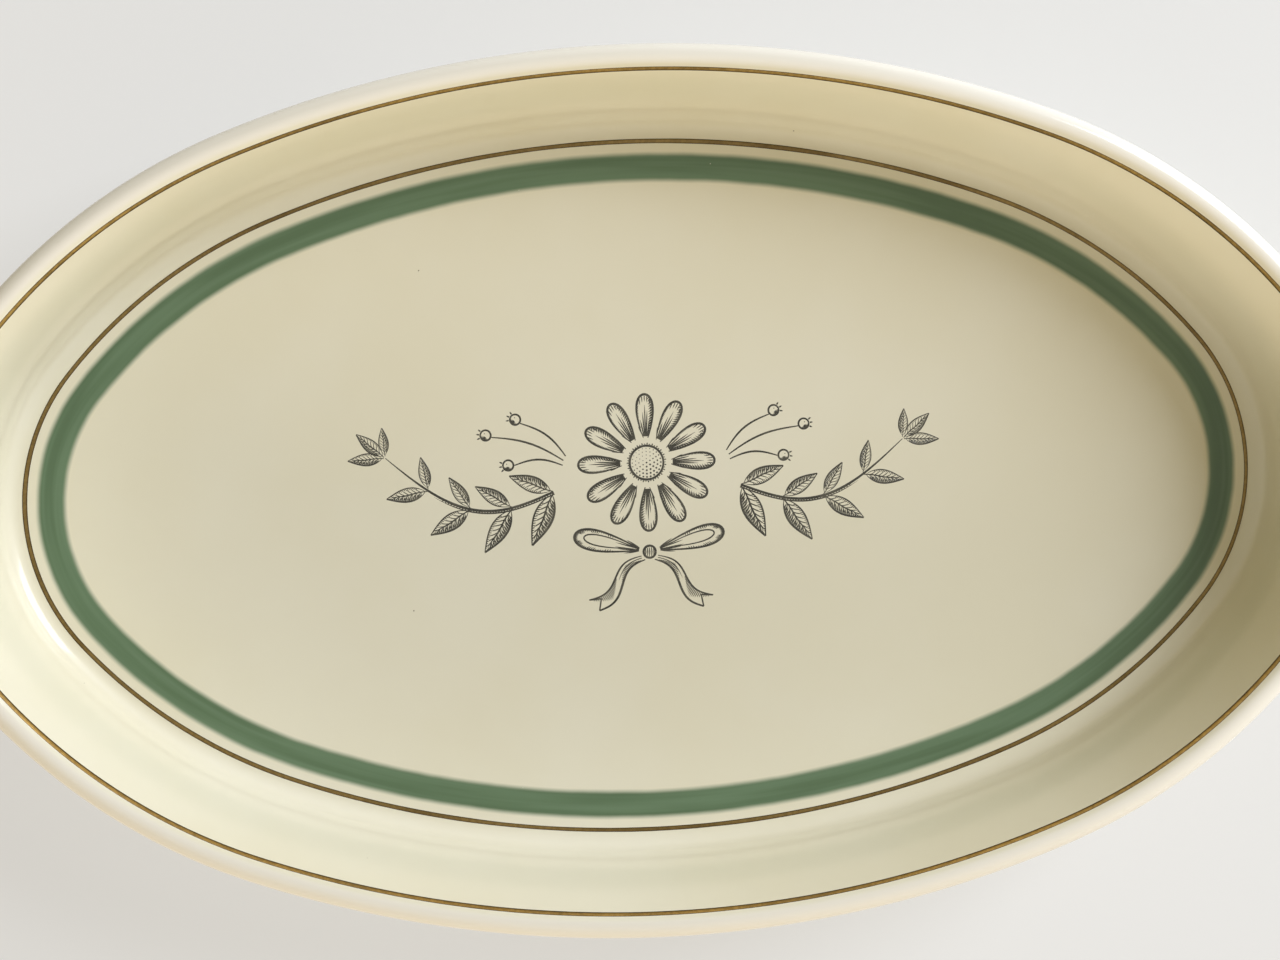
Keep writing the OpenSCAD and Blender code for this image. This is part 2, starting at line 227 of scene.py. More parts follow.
def plan_arcs():
    """A quarter's tight end, wider haunch and flatter side: centre, first angle, turn, lip radius."""
    half_length, half_width = sizes().length / 2, sizes().width / 2
    end_radius = END_RADIUS_SHARE * half_width ** 2 / half_length
    run, rise = half_length - end_radius, half_width - end_radius
    cos_end, sin_end = cos(JOIN_END), sin(JOIN_END)
    cos_side, sin_side = cos(JOIN_SIDE), sin(JOIN_SIDE)
    spread = cos_end * (1 - sin_side) - cos_side * (1 - sin_end)
    haunch_step = (run * (1 - sin_side) - cos_side * rise) / spread
    side_step = (cos_end * rise - (1 - sin_end) * run) / spread
    haunch_radius = end_radius + haunch_step
    side_radius = haunch_radius + side_step
    haunch = Vector((run - haunch_step * cos_end, -haunch_step * sin_end))
    side = Vector((0.0, half_width - side_radius))
    return [
        (Vector((run, 0.0)), 0.0, JOIN_END, end_radius),
        (haunch, JOIN_END, JOIN_SIDE - JOIN_END, haunch_radius),
        (side, JOIN_SIDE, QUARTER - JOIN_SIDE, side_radius),
    ]


def plan_offset(arcs, x, y):
    """Distance of a place outward from the lip's outer edge, in plan."""
    place = Vector((abs(x), abs(y)))
    for centre, start, turn, radius in arcs:
        reach = place - centre
        if atan2(reach.y, reach.x) <= start + turn:
            break
    return reach.length - radius


def around(centre, radius, angle):
    """The point of a circle at an angle."""
    return centre[0] + radius * cos(angle), centre[1] + radius * sin(angle)


def arc(centre, radius, start, end, steps):
    """Points of an arc in the section, from one angle in degrees to another."""
    return [around(centre, radius, radians(start + (end - start) * i / steps))
            for i in range(steps + 1)]


def lip_centre():
    s = sizes()
    return Vector((-s.lip_radius, s.height - s.lip_radius))


def well_centre():
    s = sizes()
    return Vector((-s.well_inset, s.floor_top + s.well_radius))


def heel_centre():
    s = sizes()
    return Vector((-s.heel_inset, s.foot_height + s.heel_radius))


def core_edge():
    """Where the plain middle of the floor ends, outward from the lip's edge."""
    s = sizes()
    return -s.band_inset - s.band_width - s.core_lap


def band_edges():
    """The green band's inner and outer edge, with its fades."""
    s = sizes()
    fade = s.band_fade / 2
    return -s.band_inset - s.band_width - fade, -s.band_inset + fade


def wall_lean(centre, reach):
    """Lean in degrees of a wall face that touches the lip and another circle."""
    span = lip_centre() - centre
    return degrees(acos(reach / span.length) - atan2(span.y, span.x))


def inner_lean():
    return wall_lean(well_centre(), sizes().lip_radius + sizes().well_radius)


def outer_lean():
    return wall_lean(heel_centre(), sizes().heel_radius - sizes().lip_radius)


def steadied(curves):
    """Joins curves of the section, with points that keep the straight faces between them flat."""
    points = list(curves[0])
    for curve in curves[1:]:
        start, end = Vector(points[-1]), Vector(curve[0])
        along = (end - start).normalized() * STEADY_STEP
        if (end - start).length > 4 * STEADY_STEP:
            points += [tuple(start + along), tuple((start + end) / 2), tuple(end - along)]
        points += curve
    return points


def show_side(depth, fine=True):
    """The section from the well over the lip and round the heel to the foot's outer face."""
    s = sizes()
    root = (-s.foot_inset + s.foot_root, s.foot_height - s.foot_root)
    well, lip, heel, foot = FINE_STEPS if fine else PLAIN_STEPS
    return steadied([
        arc(well_centre(), s.well_radius + depth, -90, -inner_lean(), well),
        arc(lip_centre(), s.lip_radius - depth, 180 - inner_lean(), -outer_lean(), lip),
        arc(heel_centre(), s.heel_radius - depth, -outer_lean(), -90, heel),
        arc(root, s.foot_root + depth, 90, 180, foot)])


def under_side(depth):
    """The section from the foot's inner face to the underside of the floor."""
    s = sizes()
    root_x = -s.foot_inset - s.foot_width - s.foot_root
    return (arc((root_x, s.foot_height - s.foot_root), s.foot_root + depth, 0, 90, ROOT_STEPS)
            + [(core_edge(), s.foot_height + depth)])


# Modelling helpers

# Widths of the rings of faces that fill a piece's middle
MIDDLE_RINGS = (4 * MM, 8 * MM)

# Faces that meet at less than so many degrees are shaded as one: on dishes, inks and gilt lines
DISH_SMOOTH, INK_SMOOTH, GILT_SMOOTH = 40, 30, 60


def pick(*pieces):
    """Leaves edit mode and selects only these pieces, with the first one active."""
    if bpy.context.object and bpy.context.object.mode != "OBJECT":
        bpy.ops.object.mode_set(mode="OBJECT")
    bpy.ops.object.select_all(action="DESELECT")
    for piece in pieces:
        piece.select_set(True)
        bpy.context.view_layer.objects.active = pieces[0]


def edit_all():
    """Enters edit mode with the whole active mesh selected."""
    bpy.ops.object.mode_set(mode="EDIT")
    bpy.ops.mesh.select_all(action="SELECT")


def turn_outward():
    """Points the active mesh's faces outward and leaves edit mode."""
    edit_all()
    bpy.ops.mesh.normals_make_consistent(inside=False)
    bpy.ops.object.mode_set(mode="OBJECT")


def apply_place():
    """Puts the active piece's place into its mesh."""
    bpy.ops.object.transform_apply(location=True, rotation=True, scale=True)


def section_chain(name, points):
    """Draws a section as a chain of edges in a new mesh, one extrusion after another."""
    pick()
    bpy.ops.mesh.primitive_plane_add(size=MM)
    piece = bpy.context.object
    piece.name = piece.data.name = name
    edit_all()
    bpy.ops.mesh.merge(type="CENTER")
    bpy.ops.transform.translate(value=points[0])
    for before, after in zip(points, points[1:]):
        bpy.ops.mesh.extrude_region_move(
            TRANSFORM_OT_translate={"value": tuple(b - a for a, b in zip(before, after))})
    return piece


def close_middle(piece, levels):
    """Fills the open loops in the middle of a swept piece, one at each level."""
    for level in levels:
        bpy.ops.mesh.select_mode(type="VERT")
        bpy.ops.mesh.select_all(action="DESELECT")
        bpy.ops.mesh.select_non_manifold()
        bpy.ops.object.mode_set(mode="OBJECT")
        for vertex in piece.data.vertices:
            if abs(vertex.co.z - level) > DOUBLES:
                vertex.select = False
        bpy.ops.object.mode_set(mode="EDIT")
        bpy.ops.mesh.edge_face_add()
        for width in MIDDLE_RINGS:
            bpy.ops.mesh.inset(thickness=width)


def swept(name, section, levels=()):
    """Sweeps a section round the oval and closes its middle at the levels, if there are any.

    Its points are distances outward from the lip's edge and heights.
    """
    arcs = plan_arcs()
    centre, _, _, radius = arcs[0]
    piece = section_chain(name, [(centre.x + radius + out, 0.0, up) for out, up in section])
    bpy.ops.mesh.select_all(action="SELECT")
    for centre, _, turn, radius in arcs:
        steps = max(4, round(turn * radius / sizes().step))
        bpy.ops.mesh.spin(steps=steps, angle=-turn, center=(centre.x, centre.y, 0), axis=(0, 0, 1))
    bpy.ops.object.mode_set(mode="OBJECT")
    mirror = piece.modifiers.new("other three quarters", "MIRROR")
    mirror.use_axis = (True, True, False)
    mirror.merge_threshold = DOUBLES
    bpy.ops.object.modifier_apply(modifier=mirror.name)
    edit_all()
    bpy.ops.mesh.remove_doubles(threshold=DOUBLES)
    close_middle(piece, levels)
    turn_outward()
    return piece


def dress(piece, body_node, slot, smooth=DISH_SMOOTH):
    """Shades a finished piece, gives it its slot's looks and puts it in its node's place."""
    pick(piece)
    bpy.ops.object.shade_smooth_by_angle(angle=radians(smooth))
    piece.data.materials.clear()
    piece.data.materials.append(material_of(*SKINS[slot]))
    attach(piece, "root")
    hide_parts(body_node)


def mark_across(piece, inner, outer):
    """Stores how far each point lies across a line, from 0 at its inner edge to 1."""
    across = piece.data.attributes.new("across", "FLOAT", "POINT")
    arcs = plan_arcs()
    for vertex in piece.data.vertices:
        offset = plan_offset(arcs, vertex.co.x, vertex.co.y)
        across.data[vertex.index].value = (offset - inner) / (outer - inner)


# Materials. Scales are in cells per metre, and other bare numbers are shares

# How deep the bumps of each surface are
WAVE_DEPTH = 0.25 * MM
GILT_GRAIN_DEPTH = 0.01 * MM
INK_GRAIN_DEPTH = 0.004 * MM
TOOTH_DEPTH = 0.03 * MM

# How far below its top the lip pales, with thinner glaze and a painted highlight, and on its outer side
# where that starts and is palest
CROWN_DROP = 0.5 * MM
RIM_DROPS = (4.0 * MM, 1.0 * MM)

# Height up to which the standing edge is soiled
SOIL_HEIGHT = 0.35 * MM

# Cells of the green's brush streaks: in a metre along the band, and across its whole width
STREAK_CELLS = (26.0, 3.2)

WHITE = (1.0, 1.0, 1.0, 1.0)


class Nodes:
    """Adds nodes to a tree. Sockets are fed with a number, a colour or another's output."""

    def __init__(self, tree):
        self.tree = tree

    def fill(self, node, values):
        """Feeds a node's sockets, by name or number."""
        for key, value in values.items():
            if isinstance(value, bpy.types.NodeSocket):
                self.tree.links.new(value, node.inputs[key])
            else:
                node.inputs[key].default_value = value

    def add(self, kind, values=(), **settings):
        """Adds a shader node, sets its options and feeds its sockets."""
        node = self.tree.nodes.new("ShaderNode" + kind)
        for key, value in settings.items():
            setattr(node, key, value)
        self.fill(node, dict(values))
        return node

    def group(self, group, values):
        return self.add("Group", values, node_tree=group).outputs

    def mix(self, factor, first, second):
        return self.add("Mix", {0: factor, 6: first, 7: second}, data_type="RGBA").outputs[2]

    def math(self, operation, first, second):
        return self.add("Math", {0: first, 1: second}, operation=operation).outputs[0]

    def times(self, first, second):
        return self.math("MULTIPLY", first, second)

    def vector(self, operation, values):
        return self.add("VectorMath", values, operation=operation).outputs

    def ramp(self, value, low, high, bottom=0.0, top=1.0):
        """Eases a value from bottom to top as it goes from low to high."""
        values = {0: value, 1: low, 2: high, 3: bottom, 4: top}
        return self.add("MapRange", values, interpolation_type="SMOOTHSTEP").outputs[0]

    def noise(self, place, scale, detail=2.0, roughness=0.5):
        return self.add("TexNoise", {"Vector": place, "Scale": scale, "Detail": detail,
                                     "Roughness": roughness}).outputs[0]

    def bump(self, height, depth, strength):
        return self.add("Bump", {"Height": height, "Distance": depth, "Strength": strength}).outputs[0]

    def axes(self, place):
        return self.add("SeparateXYZ", {0: place}).outputs

    def across(self):
        return self.add("Attribute", attribute_name="across").outputs["Fac"]


def shared_group(name, inputs, outputs, build):
    """A node group, built once. A socket without a default takes a vector."""
    if name in bpy.data.node_groups:
        return bpy.data.node_groups[name]
    group = bpy.data.node_groups.new(name, "ShaderNodeTree")
    for label, default in inputs.items():
        kind = "NodeSocketVector" if default is None else "NodeSocketFloat"
        socket = group.interface.new_socket(label, in_out="INPUT", socket_type=kind)
        if default is not None:
            socket.default_value = default
    for label in outputs:
        group.interface.new_socket(label, in_out="OUTPUT", socket_type="NodeSocketFloat")
    n = Nodes(group)
    results = build(n, group.nodes.new("NodeGroupInput").outputs)
    n.fill(group.nodes.new("NodeGroupOutput"), dict(zip(outputs, results)))
    return group


def glaze_surface():
    """Group: cloudy mottling, a slow waviness with fine ripples, and rare specks of a glaze."""

    def build(n, given):
        place = given["Vector"]
        clouds = n.ramp(n.noise(place, given["Cloud Scale"], 3.0, 0.55), 0.3, 0.7)
        slow = n.noise(place, given["Wave Scale"], 1.0, 0.4)
        quick = n.noise(place, n.times(given["Wave Scale"], 9.0), 1.0)
        cells = n.add("TexVoronoi", {"Vector": place, "Scale": given["Speck Scale"]})
        size = given["Speck Size"]
        specks = n.ramp(cells.outputs["Distance"], n.times(size, 0.5), size, 1.0, 0.0)
        return clouds, n.math("ADD", slow, n.times(quick, 0.06)), specks

    return shared_group("Glaze surface", {
        "Vector": None, "Cloud Scale": 22.0, "Wave Scale": 45.0, "Speck Scale": 95.0,
        "Speck Size": 0.014}, ["Clouds", "Waves", "Specks"], build)


def painted_line():
    """Group: how fully a painted line covers the glaze, from its across value and a wobble."""

    def build(n, given):
        shift = n.times(n.math("SUBTRACT", given["Wobble"], 0.5), given["Reach"])
        from_inner = n.math("ADD", given["Across"], shift)
        from_outer = n.math("SUBTRACT", 1.0, n.math("SUBTRACT", given["Across"], shift))
        return [n.ramp(n.math("MINIMUM", from_inner, from_outer), 0.0, given["Fade"])]

    return shared_group("Painted line", {
        "Across": 0.5, "Wobble": 0.5, "Reach": 0.05, "Fade": 0.15}, ["Cover"], build)


def material_of(name, looks):
    """A node material, built once. Its patterns lie in a piece's own coordinates."""
    if name in bpy.data.materials:
        return bpy.data.materials[name]
    material = bpy.data.materials.new(name)
    material.use_nodes = True
    n = Nodes(material.node_tree)
    n.tree.nodes.clear()
    shader = n.add("BsdfPrincipled")
    surface = looks(n, shader, n.add("TexCoord").outputs["Object"]) or shader.outputs[0]
    n.add("OutputMaterial", {"Surface": surface})
    return material


def cream_colour(n, surface, place):
    """Cloudy cream glaze, paler on the lip's crown and outer side: thinner glaze and a painted
    highlight.
    """
    c = colours()
    body = n.mix(surface["Clouds"], c.cream, c.cream_deep)
    height, top = n.axes(place)["Z"], sizes().height
    # Thinner glaze and a painted highlight on the lip's crown
    crown = n.ramp(height, top - CROWN_DROP, top)
    level = n.vector("MULTIPLY", {0: place, 1: (1.0, 1.0, 0.0)})[0]
    away = n.vector("NORMALIZE", {0: level})[0]
    normal = n.add("NewGeometry").outputs["Normal"]
    facing = n.vector("DOT_PRODUCT", {0: away, 1: normal})["Value"]
    # A painted highlight on the lip's outer side, where it faces outward near the top
    rim = n.ramp(height, *(top - drop for drop in RIM_DROPS))
    outer_side_highlight = n.times(n.ramp(facing, 0.0, 0.3), rim)
    return n.mix(n.math("MAXIMUM", crown, outer_side_highlight), body, c.pale_cream_and_highlight)


def glassy(n, shader, surface, colour, gloss=0.3, coat=0.6):
    """Puts a colour under the clear, gently waved skin that every glaze has."""
    n.fill(shader, {"Base Color": colour, "Normal": n.bump(surface["Waves"], WAVE_DEPTH, 0.5),
                    "Roughness": 0.25, "Specular IOR Level": gloss, "Coat Weight": coat,
                    "Coat Roughness": 0.09})


def cream_looks(n, shader, place):
    """Cream glaze with a few specks."""
    surface = n.group(glaze_surface(), {"Vector": place})
    cream = cream_colour(n, surface, place)
    glassy(n, shader, surface, n.mix(surface["Specks"], cream, colours().speck))


def green_looks(n, shader, place):
    """Green under the glaze: streaked by the brush, pitted, and faded at both edges."""
    c, s = colours(), sizes()
    surface = n.group(glaze_surface(), {"Vector": place})
    across = n.across()
    fade = s.band_fade / (s.band_width + s.band_fade)
    cover = n.group(painted_line(), {
        "Across": across, "Wobble": n.noise(place, 160.0), "Reach": 0.045, "Fade": fade})["Cover"]
    flat = n.axes(place)
    along, over = STREAK_CELLS
    cells = n.add("CombineXYZ", {0: n.times(flat["X"], along), 1: n.times(flat["Y"], along),
                                 2: n.times(across, over)}).outputs[0]
    streaks = n.ramp(n.noise(cells, 1.0, 2.0, 0.45), 0.32, 0.7)
    green = n.mix(n.times(streaks, 0.55), c.green, c.green_thin)
    green = n.mix(n.ramp(cover, 0.35, 1.0, 1.0, 0.0), green, c.green_rim)
    colour = n.mix(cover, cream_colour(n, surface, place), green)
    pits = n.group(glaze_surface(), {
        "Vector": place, "Speck Scale": 210.0, "Speck Size": 0.024})["Specks"]
    glassy(n, shader, surface, n.mix(n.times(pits, 0.7), colour, c.pale_cream_and_highlight), 0.15, 0.4)


def gilt_looks(n, shader, place):
    """Burnished gilding, brown along its edges, and darker on the floor as painted shade."""
    c = colours()
    cover = n.group(painted_line(), {
        "Across": n.across(), "Wobble": n.noise(place, 420.0), "Reach": 0.1, "Fade": 0.34})["Cover"]
    grain = n.noise(place, 1500.0, 3.0, 0.6)
    worn = n.ramp(n.noise(place, 60.0), 0.35, 0.75)
    # Painted shade: the gilding darkens from the lip down to the floor
    shade_on_floor = n.ramp(n.axes(place)["Z"], sizes().floor_top, sizes().height, 1.0, 0.0)
    gold = n.mix(shade_on_floor, c.gilt, c.gilt_shaded)
    gold = n.mix(n.times(worn, 0.4), gold, c.gilt_edge)
    gold = n.mix(n.ramp(grain, 0.35, 0.65, 0.0, 0.3), gold, c.gilt_edge)
    n.fill(shader, {"Base Color": n.mix(cover, c.gilt_edge, gold), "Metallic": 0.85,
                    "Roughness": n.ramp(worn, 0.0, 1.0, 0.3, 0.48),
                    "Normal": n.bump(grain, GILT_GRAIN_DEPTH, 0.4)})


def ink_looks(n, shader, place):
    """Grey brown printing ink, a little uneven, under a film of glaze."""
    c = colours()
    patches = n.ramp(n.noise(place, 260.0, 3.0, 0.6), 0.42, 0.72)
    grain = n.ramp(n.noise(place, 4200.0, 2.0, 0.7), 0.45, 0.75)
    thin = n.math("MAXIMUM", n.times(patches, 0.8), n.times(grain, 0.7))
    n.fill(shader, {"Base Color": n.mix(thin, c.ink, c.ink_thin),
                    "Roughness": n.ramp(grain, 0.0, 1.0, 0.3, 0.42),
                    "Normal": n.bump(grain, INK_GRAIN_DEPTH, 0.4),
                    "Specular IOR Level": 0.25, "Coat Weight": 0.3, "Coat Roughness": 0.1})


def bare_looks(n, shader, place):
    """Dry porcelain with a fine tooth, soiled where it stands."""
    c = colours()
    tooth = n.noise(place, 2600.0, 4.0, 0.65)
    patches = n.ramp(n.noise(place, 130.0, 4.0, 0.6), 0.4, 0.7)
    low = n.ramp(n.axes(place)["Z"], 0.0, SOIL_HEIGHT, 1.0, 0.0)
    grain = n.mix(n.ramp(tooth, 0.35, 0.7, 0.0, 0.25), c.bare, c.soiled)
    n.fill(shader, {"Base Color": n.mix(n.times(n.times(patches, low), 0.6), grain, c.soiled),
                    "Roughness": n.ramp(tooth, 0.3, 0.7, 0.62, 0.85),
                    "Normal": n.bump(tooth, TOOTH_DEPTH, 0.6)})


# The material that each of the record's slots gets: its name and its looks
SKINS = {
    "bare_porcelain": ("dry_porcelain", bare_looks),
    "cream_glaze": ("cream_glaze_skin", cream_looks),
    "green_glaze": ("green_banding", green_looks),
    "gilding": ("worn_gilding", gilt_looks),
    "print_ink": ("printing_ink", ink_looks),
}


# Strokes of the print. Bare numbers are counts, degrees, or shares of a motif's size or of a pen

MIDDLE = (0.0, 0.0)
NIB_OUTLINE = ((-0.5, 0.0), (0.5, 0.0), (0.3, 0.07), (-0.3, 0.07))


def mixing(a, b, t):
    return a + (b - a) * t


def shares(count, start=0.0, end=1.0):
    """Evenly spaced shares from start to end, both included."""
    return [mixing(start, end, i / (count - 1)) for i in range(count)]


def heading(angle):
    return Vector((cos(angle), sin(angle)))


def new_curve(name, dimensions):
    """An empty curve object."""
    pick()
    bpy.ops.curve.primitive_bezier_curve_add()
    piece = bpy.context.object
    piece.name = piece.data.name = name
    piece.data.splines.clear()
    piece.data.dimensions = dimensions
    return piece


def new_spline(curve, places):
    """Adds an angular spline through places in plan."""
    spline = curve.splines.new("POLY")
    spline.points.add(len(places) - 1)
    for point, (x, y) in zip(spline.points, places):
        point.co = (x, y, 0.0, 1.0)
    return spline


def nib():
    """The outline that every stroke is drawn with, one millimetre wide, flat below."""
    if "nib" in bpy.data.objects:
        return bpy.data.objects["nib"]
    shape = new_curve("nib", "2D")
    spline = new_spline(shape.data, [(x * MM, y * MM) for x, y in NIB_OUTLINE])
    spline.use_cyclic_u = True
    return shape


def drawing(name, strokes):
    """Draws strokes with the nib as one mesh. A stroke is its points, width and two tips."""
    shape = nib()
    curve = new_curve(name, "3D").data
    curve.twist_mode = "Z_UP"
    for places, width, tips in strokes:
        points = new_spline(curve, places).points
        for point, t in zip(points, shares(len(points))):
            tip = mixing(*tips, t)
            point.radius = width / MM * (tip + (1 - tip) * sin(pi * t))
    curve.bevel_mode = "OBJECT"
    curve.bevel_object = shape
    curve.use_fill_caps = True
    bpy.ops.object.convert(target="MESH")
    edit_all()
    bpy.ops.mesh.remove_doubles(threshold=CAP_GAP)
    turn_outward()
    return bpy.context.object


def stroke(points, width, tips=(0.3, 0.3)):
    """A stroke through points. Its tips are shares of the width at its two ends."""
    return [tuple(p) for p in points], width, tips


def hatching(places, line, width, tips=(0.9, 0.3), steps=3):
    """One stroke for each place t, through the points that line(t, u) gives for shares u."""
    return [stroke([line(t, u) for u in shares(steps)], width, tips) for t in places]


def ring(radius, width, points=20):
    """A closed round stroke."""
    return stroke([around(MIDDLE, radius, 2 * pi * i / points) for i in range(points + 1)],
                  width, (0.85, 0.85))


def dot(centre, radius):
    """A round dot, drawn as a stroke about as short as it is wide."""
    reach = radius * 0.9
    return stroke([(centre[0] + u, centre[1]) for u in shares(5, -reach, reach)], 2 * radius)


def placed_copies(source, matrices):
    """Copies of a drawing, each with its own mesh, turned and moved into place."""
    copies = []
    for matrix in matrices:
        pick(source)
        bpy.ops.object.duplicate(linked=False)
        copies.append(bpy.context.object)
        copies[-1].matrix_world = matrix
        apply_place()
    return copies


def across_copy(piece):
    """A list of one copy of a drawing, on the other side of the dish's middle."""
    return placed_copies(piece, [Matrix.Diagonal((-1.0, 1.0, 1.0, 1.0))])


def joined(name, pieces):
    """Joins drawings into one mesh, with its faces outward."""
    pick(*pieces)
    if len(pieces) > 1:
        bpy.ops.object.join()
    whole = bpy.context.object
    whole.name = whole.data.name = name
    turn_outward()
    return whole


def flat_place(place, angle=0.0, scale=1.0, flip=False):
    """A place on the paper: turned by an angle, scaled and, if asked, mirrored first."""
    size = Matrix.Diagonal((scale, -scale if flip else scale, 1.0, 1.0))
    return Matrix.Translation((*place, 0.0)) @ Matrix.Rotation(angle, 4, "Z") @ size


def lay_print(piece, body_node, rise=0.0):
    """Lays a finished drawing on the well's floor, so far up in plan, and inks it."""
    pick(piece)
    piece.location = (0.0, rise, sizes().floor_top - print_sizes().sink)
    apply_place()
    dress(piece, body_node, "print_ink", INK_SMOOTH)


def discard(*pieces):
    for piece in pieces:
        bpy.data.objects.remove(piece)


# The garlands

LEAF_FULLEST_SHARE = 0.8
LEAF_SPREAD = radians(44)
UPPER_LEAF_SHARE = 0.8
LEAF_SHRINK_SHARE = 0.38
STALK_SHARE = 0.06
VEIN_SHARE = 0.15
HATCH_LEAN_SHARE = 0.05
STEM_SHADE_DROP = 0.42 * MM

# Points of a hatch stroke: how far below the stem, and how far ahead
STEM_HATCH = ((0.12 * MM, 0.0), (0.28 * MM, 0.1 * MM), (0.4 * MM, 0.22 * MM))


def leaf_strokes():
    """A leaf along X from its stalk: two edges, a midrib, veins and a shaded lower half."""
    p = print_sizes()
    long, wide = p.leaf_length, p.leaf_width

    def edge(t):
        return wide / 2 * sin(pi * t ** LEAF_FULLEST_SHARE)

    strokes = []
    for side, width in ((-1, p.outline), (1, 0.75 * p.outline)):
        outline = [(long * t, side * edge(t)) for t in shares(16, 0.01, 0.995)]
        strokes.append(stroke(outline, width, (0.35, 0.7)))
    rib = [(long * t, 0.03 * wide * sin(3 * pi * t)) for t in shares(10, -0.05, 0.9)]
    strokes.append(stroke(rib, 1.2 * p.fine, (0.7, 0.2)))
    for side in (-1, 1):
        strokes += hatching(shares(7, 0.1, 0.74), lambda t, u: (
            long * (t + VEIN_SHARE * u), side * edge(t + VEIN_SHARE) * 0.82 * u ** 1.25),
            0.8 * p.fine, (0.9, 0.25), 4)
    for i, t in enumerate(shares(36, 0.09, 0.93)):
        near, bottom = 0.3 if i % 2 else 0.12, edge(min(t + HATCH_LEAN_SHARE, 0.99))
        strokes.append(stroke([(long * (t + HATCH_LEAN_SHARE * u), -bottom * mixing(near, 0.94, u))
                               for u in shares(3)], p.hair, (0.4, 0.9)))
    return strokes + hatching(shares(17, 0.22, 0.92), lambda t, u: (
        long * (t - 0.03 * u), edge(t) * mixing(0.94, 0.62, u)), p.hair)


def stem_point(t):
    p = print_sizes()
    return Vector((p.garland_start + p.garland_length * t,
                   p.garland_rise * t - p.garland_drop * sin(pi * t)))


def stem_angle(t):
    p = print_sizes()
    return atan2(p.garland_rise - p.garland_drop * pi * cos(pi * t), p.garland_length)


def by_stem(t, below, ahead=0.0):
    """A place so far below the stem, and so far ahead along it."""
    angle = stem_angle(t)
    return stem_point(t) + below * heading(angle - QUARTER) + ahead * heading(angle)


def leaf_place(t, side):
    """The place of a leaf below the stem, above it, or at its tip with side 0."""
    angle = stem_angle(t) + side * LEAF_SPREAD
    place = stem_point(t) + print_sizes().leaf_length * STALK_SHARE * heading(angle)
    size = (1 - LEAF_SHRINK_SHARE * t) * (UPPER_LEAF_SHARE if side > 0 else 1)
    return flat_place(place, angle, size, side > 0)


def garland():
    """One garland of paired leaves on a hanging stem, drawn to the right of the middle."""
    p = print_sizes()
    leaf = drawing("leaf", leaf_strokes())
    pairs = [leaf_place(t, side) for t in shares(p.leaf_pairs) for side in (-1, 1)]
    leaves = placed_copies(leaf, pairs + [leaf_place(1, 0)])
    discard(leaf)
    strokes = [stroke([stem_point(t) for t in shares(34)], 1.1 * p.outline, (0.9, 0.3)),
               stroke([by_stem(t, STEM_SHADE_DROP) for t in shares(26, 0.0, 0.72)], p.fine,
                      (0.9, 0.15))]
    for t in shares(40, 0.02, 0.66):
        strokes.append(stroke([by_stem(t, *step) for step in STEM_HATCH], p.hair, (0.9, 0.4)))
    return joined("right_garland_engraved", [drawing("stem", strokes)] + leaves)


# The daisy

PETAL_GAP = 0.59 * MM
PETAL_WIDEST_SHARE = 0.62
PETAL_FILL_SHARE = 0.86
PETAL_NECK_SHARE = 0.35
PETAL_OPEN = 150
PETAL_VEIN_SHARES = (0.36, 0.5, 0.66, 0.78, 0.62, 0.46, 0.32)

# Each round's number of dots, and its radius as a share of the button's
BUTTON_DOTS = ((1, 0.0), (6, 0.22), (12, 0.42), (18, 0.61), (24, 0.79))
DOT_RADII = (0.09 * MM, 0.2 * MM)
LIGHT_ANGLE = radians(125)
BUTTON_RAYS = 46
RAY_LENGTHS = (0.16 * MM, 0.32 * MM)


def drop_outline(angle, long, wide, neck):
    """A point on a drop shape that is round at its far end and narrow at its neck."""
    share = (1 + cos(radians(angle))) / 2
    return long * share, wide / 2 * sin(radians(angle)) * mixing(neck, 1, share)


def petal_size():
    """Where a petal starts, its length and its width."""
    p = print_sizes()
    start = p.button_radius + PETAL_GAP
    long = p.daisy_radius - start
    return start, long, (PETAL_FILL_SHARE * 2 * sin(pi / p.petals)
                         * (start + PETAL_WIDEST_SHARE * long))


def petal_strokes():
    """A petal along X: its outline, fanned veins, tip ticks and one shaded side."""
    p = print_sizes()
    _, long, wide = petal_size()

    def half_width(t):
        return wide / 2 * sin(acos(2 * t - 1)) * mixing(PETAL_NECK_SHARE, 1, t)

    strokes = [stroke([drop_outline(a, long, wide, PETAL_NECK_SHARE)
                       for a in shares(30, -PETAL_OPEN, PETAL_OPEN)], p.outline, (0.45, 0.3))]
    for k, reach in enumerate(PETAL_VEIN_SHARES, -3):
        vein = [(long * mixing(0.1, reach, u), k * wide * mixing(0.035, 0.105, u)) for u in shares(5)]
        strokes.append(stroke(vein, 0.85 * p.fine, (0.9, 0.2)))
    strokes += hatching(range(-3, 4), lambda k, u: (
        long * (0.97 - 0.01736 * k * k - 0.13 * u), k * wide * 0.115 * mixing(1.0, 0.9, u)),
        p.hair, (0.9, 0.25))
    for i, t in enumerate(shares(30, 0.14, 0.93)):
        out, reach = half_width(t), 0.42 if i % 2 else 0.58
        strokes.append(stroke([(long * (t - 0.035 * u), -out * mixing(0.94, reach, u))
                               for u in shares(3)], p.hair, (0.9, 0.3)))
    return strokes + hatching(shares(20, 0.3, 0.88), lambda t, u: (
        long * (t - 0.02 * u), half_width(t) * mixing(0.94, 0.76, u)), 0.8 * p.hair)


